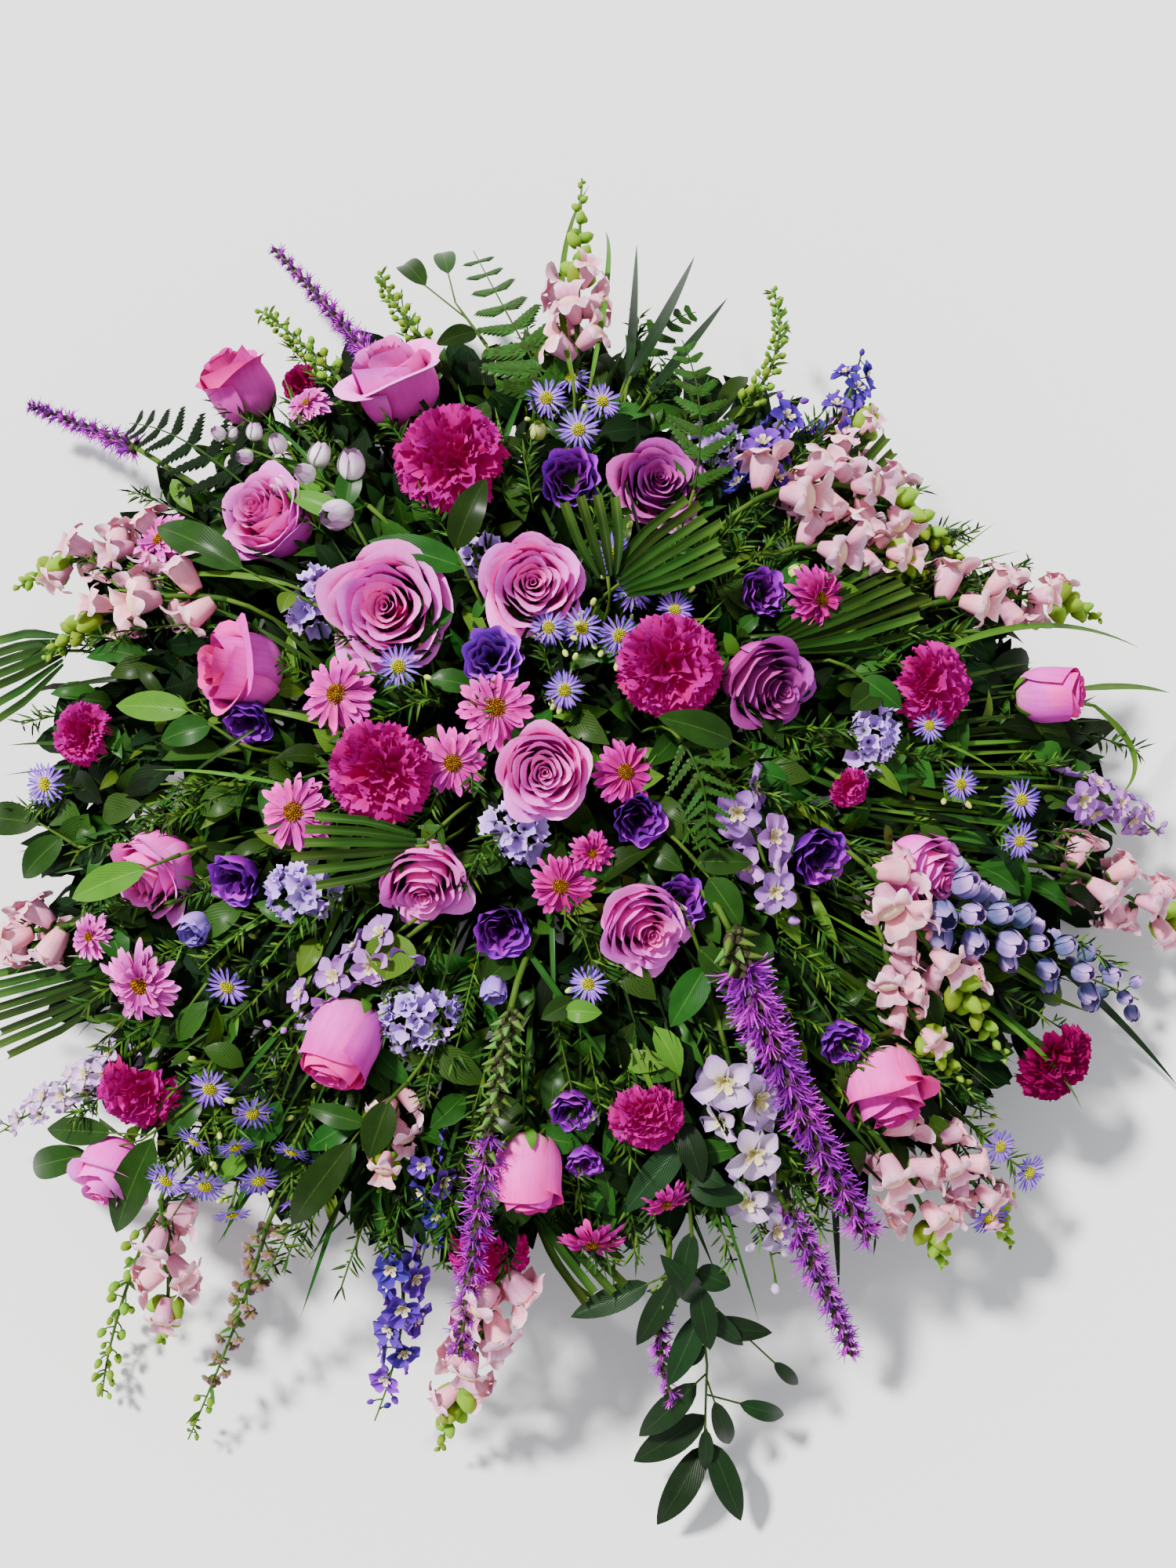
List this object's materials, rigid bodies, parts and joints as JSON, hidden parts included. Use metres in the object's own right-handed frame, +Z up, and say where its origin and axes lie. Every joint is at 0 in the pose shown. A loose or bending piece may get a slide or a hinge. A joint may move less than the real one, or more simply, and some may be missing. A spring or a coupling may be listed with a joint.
{
  "type": "cascading bouquet",
  "caption": "Low domed bouquet of mixed lavender, pink and purple blooms and greens in a foam tray, trailing towards the front",
  "frame": {"origin": "middle of the tray's flat underside, on the surface it rests on", "axes": "+Z up out of the bloom dome, +Y to the back of the arrangement, -Y along the long trail, X across"},
  "size_m": [0.8727, 0.9191, 0.269],
  "materials": {
    "tray": "satin dark green moulded plastic",
    "foam": "wet open-celled floral foam",
    "rose": "soft lavender pink petals",
    "carnation": "magenta fringed petals",
    "lisianthus": "deep violet petals",
    "mum": "pink ray petals with a brown gold eye",
    "aster": "lavender rays with a yellow eye",
    "statice": "dry papery lavender calyces",
    "snapdragon": "pale pink lipped florets and yellow green buds",
    "larkspur": "blue violet to pale lilac florets",
    "liatris": "bright purple feathery florets",
    "foliage": "glossy to matt dark green leaves and stems"
  },
  "bodies": {
    "root": {"tray": "tray", "foam": "foam", "rose_01": "rose", "rose_02": "rose", "rose_03": "rose", "rose_04": "rose", "rose_05": "rose", "rose_06": "rose", "rose_07": "rose", "rose_08": "rose", "rose_09": "rose", "rose_10": "rose", "rose_11": "rose", "rose_12": "rose", "rose_13": "rose", "rose_14": "rose", "rose_15": "rose", "rose_16": "rose", "rose_17": "rose", "rose_18": "rose", "carnation_01": "carnation", "carnation_02": "carnation", "carnation_03": "carnation", "carnation_04": "carnation", "carnation_05": "carnation", "carnation_06": "carnation", "carnation_07": "carnation", "carnation_08": "carnation", "carnation_09": "carnation", "carnation_10": "carnation", "carnation_11": "carnation", "lisianthus_upper": "lisianthus", "lisianthus_middle": "lisianthus", "lisianthus_left": "lisianthus", "lisianthus_lower": "lisianthus", "mums_centre": "mum", "mums_right": "mum", "mums_left": "mum", "mums_bottom": "mum", "asters_top": "aster", "asters_centre": "aster", "asters_left": "aster", "asters_right": "aster", "statice_left": "statice", "statice_right": "statice", "snapdragons_upper": "snapdragon", "snapdragons_right": "snapdragon", "snapdragons_left": "snapdragon", "snapdragons_bottom": "snapdragon", "larkspurs_upper": "larkspur", "larkspurs_left": "larkspur", "larkspurs_right": "larkspur", "larkspurs_bottom": "larkspur", "liatris_upper": "liatris", "liatris_lower": "liatris", "greens_back": "foliage", "greens_left": "foliage", "greens_right": "foliage", "greens_front": "foliage"}
  },
  "joints": []
}
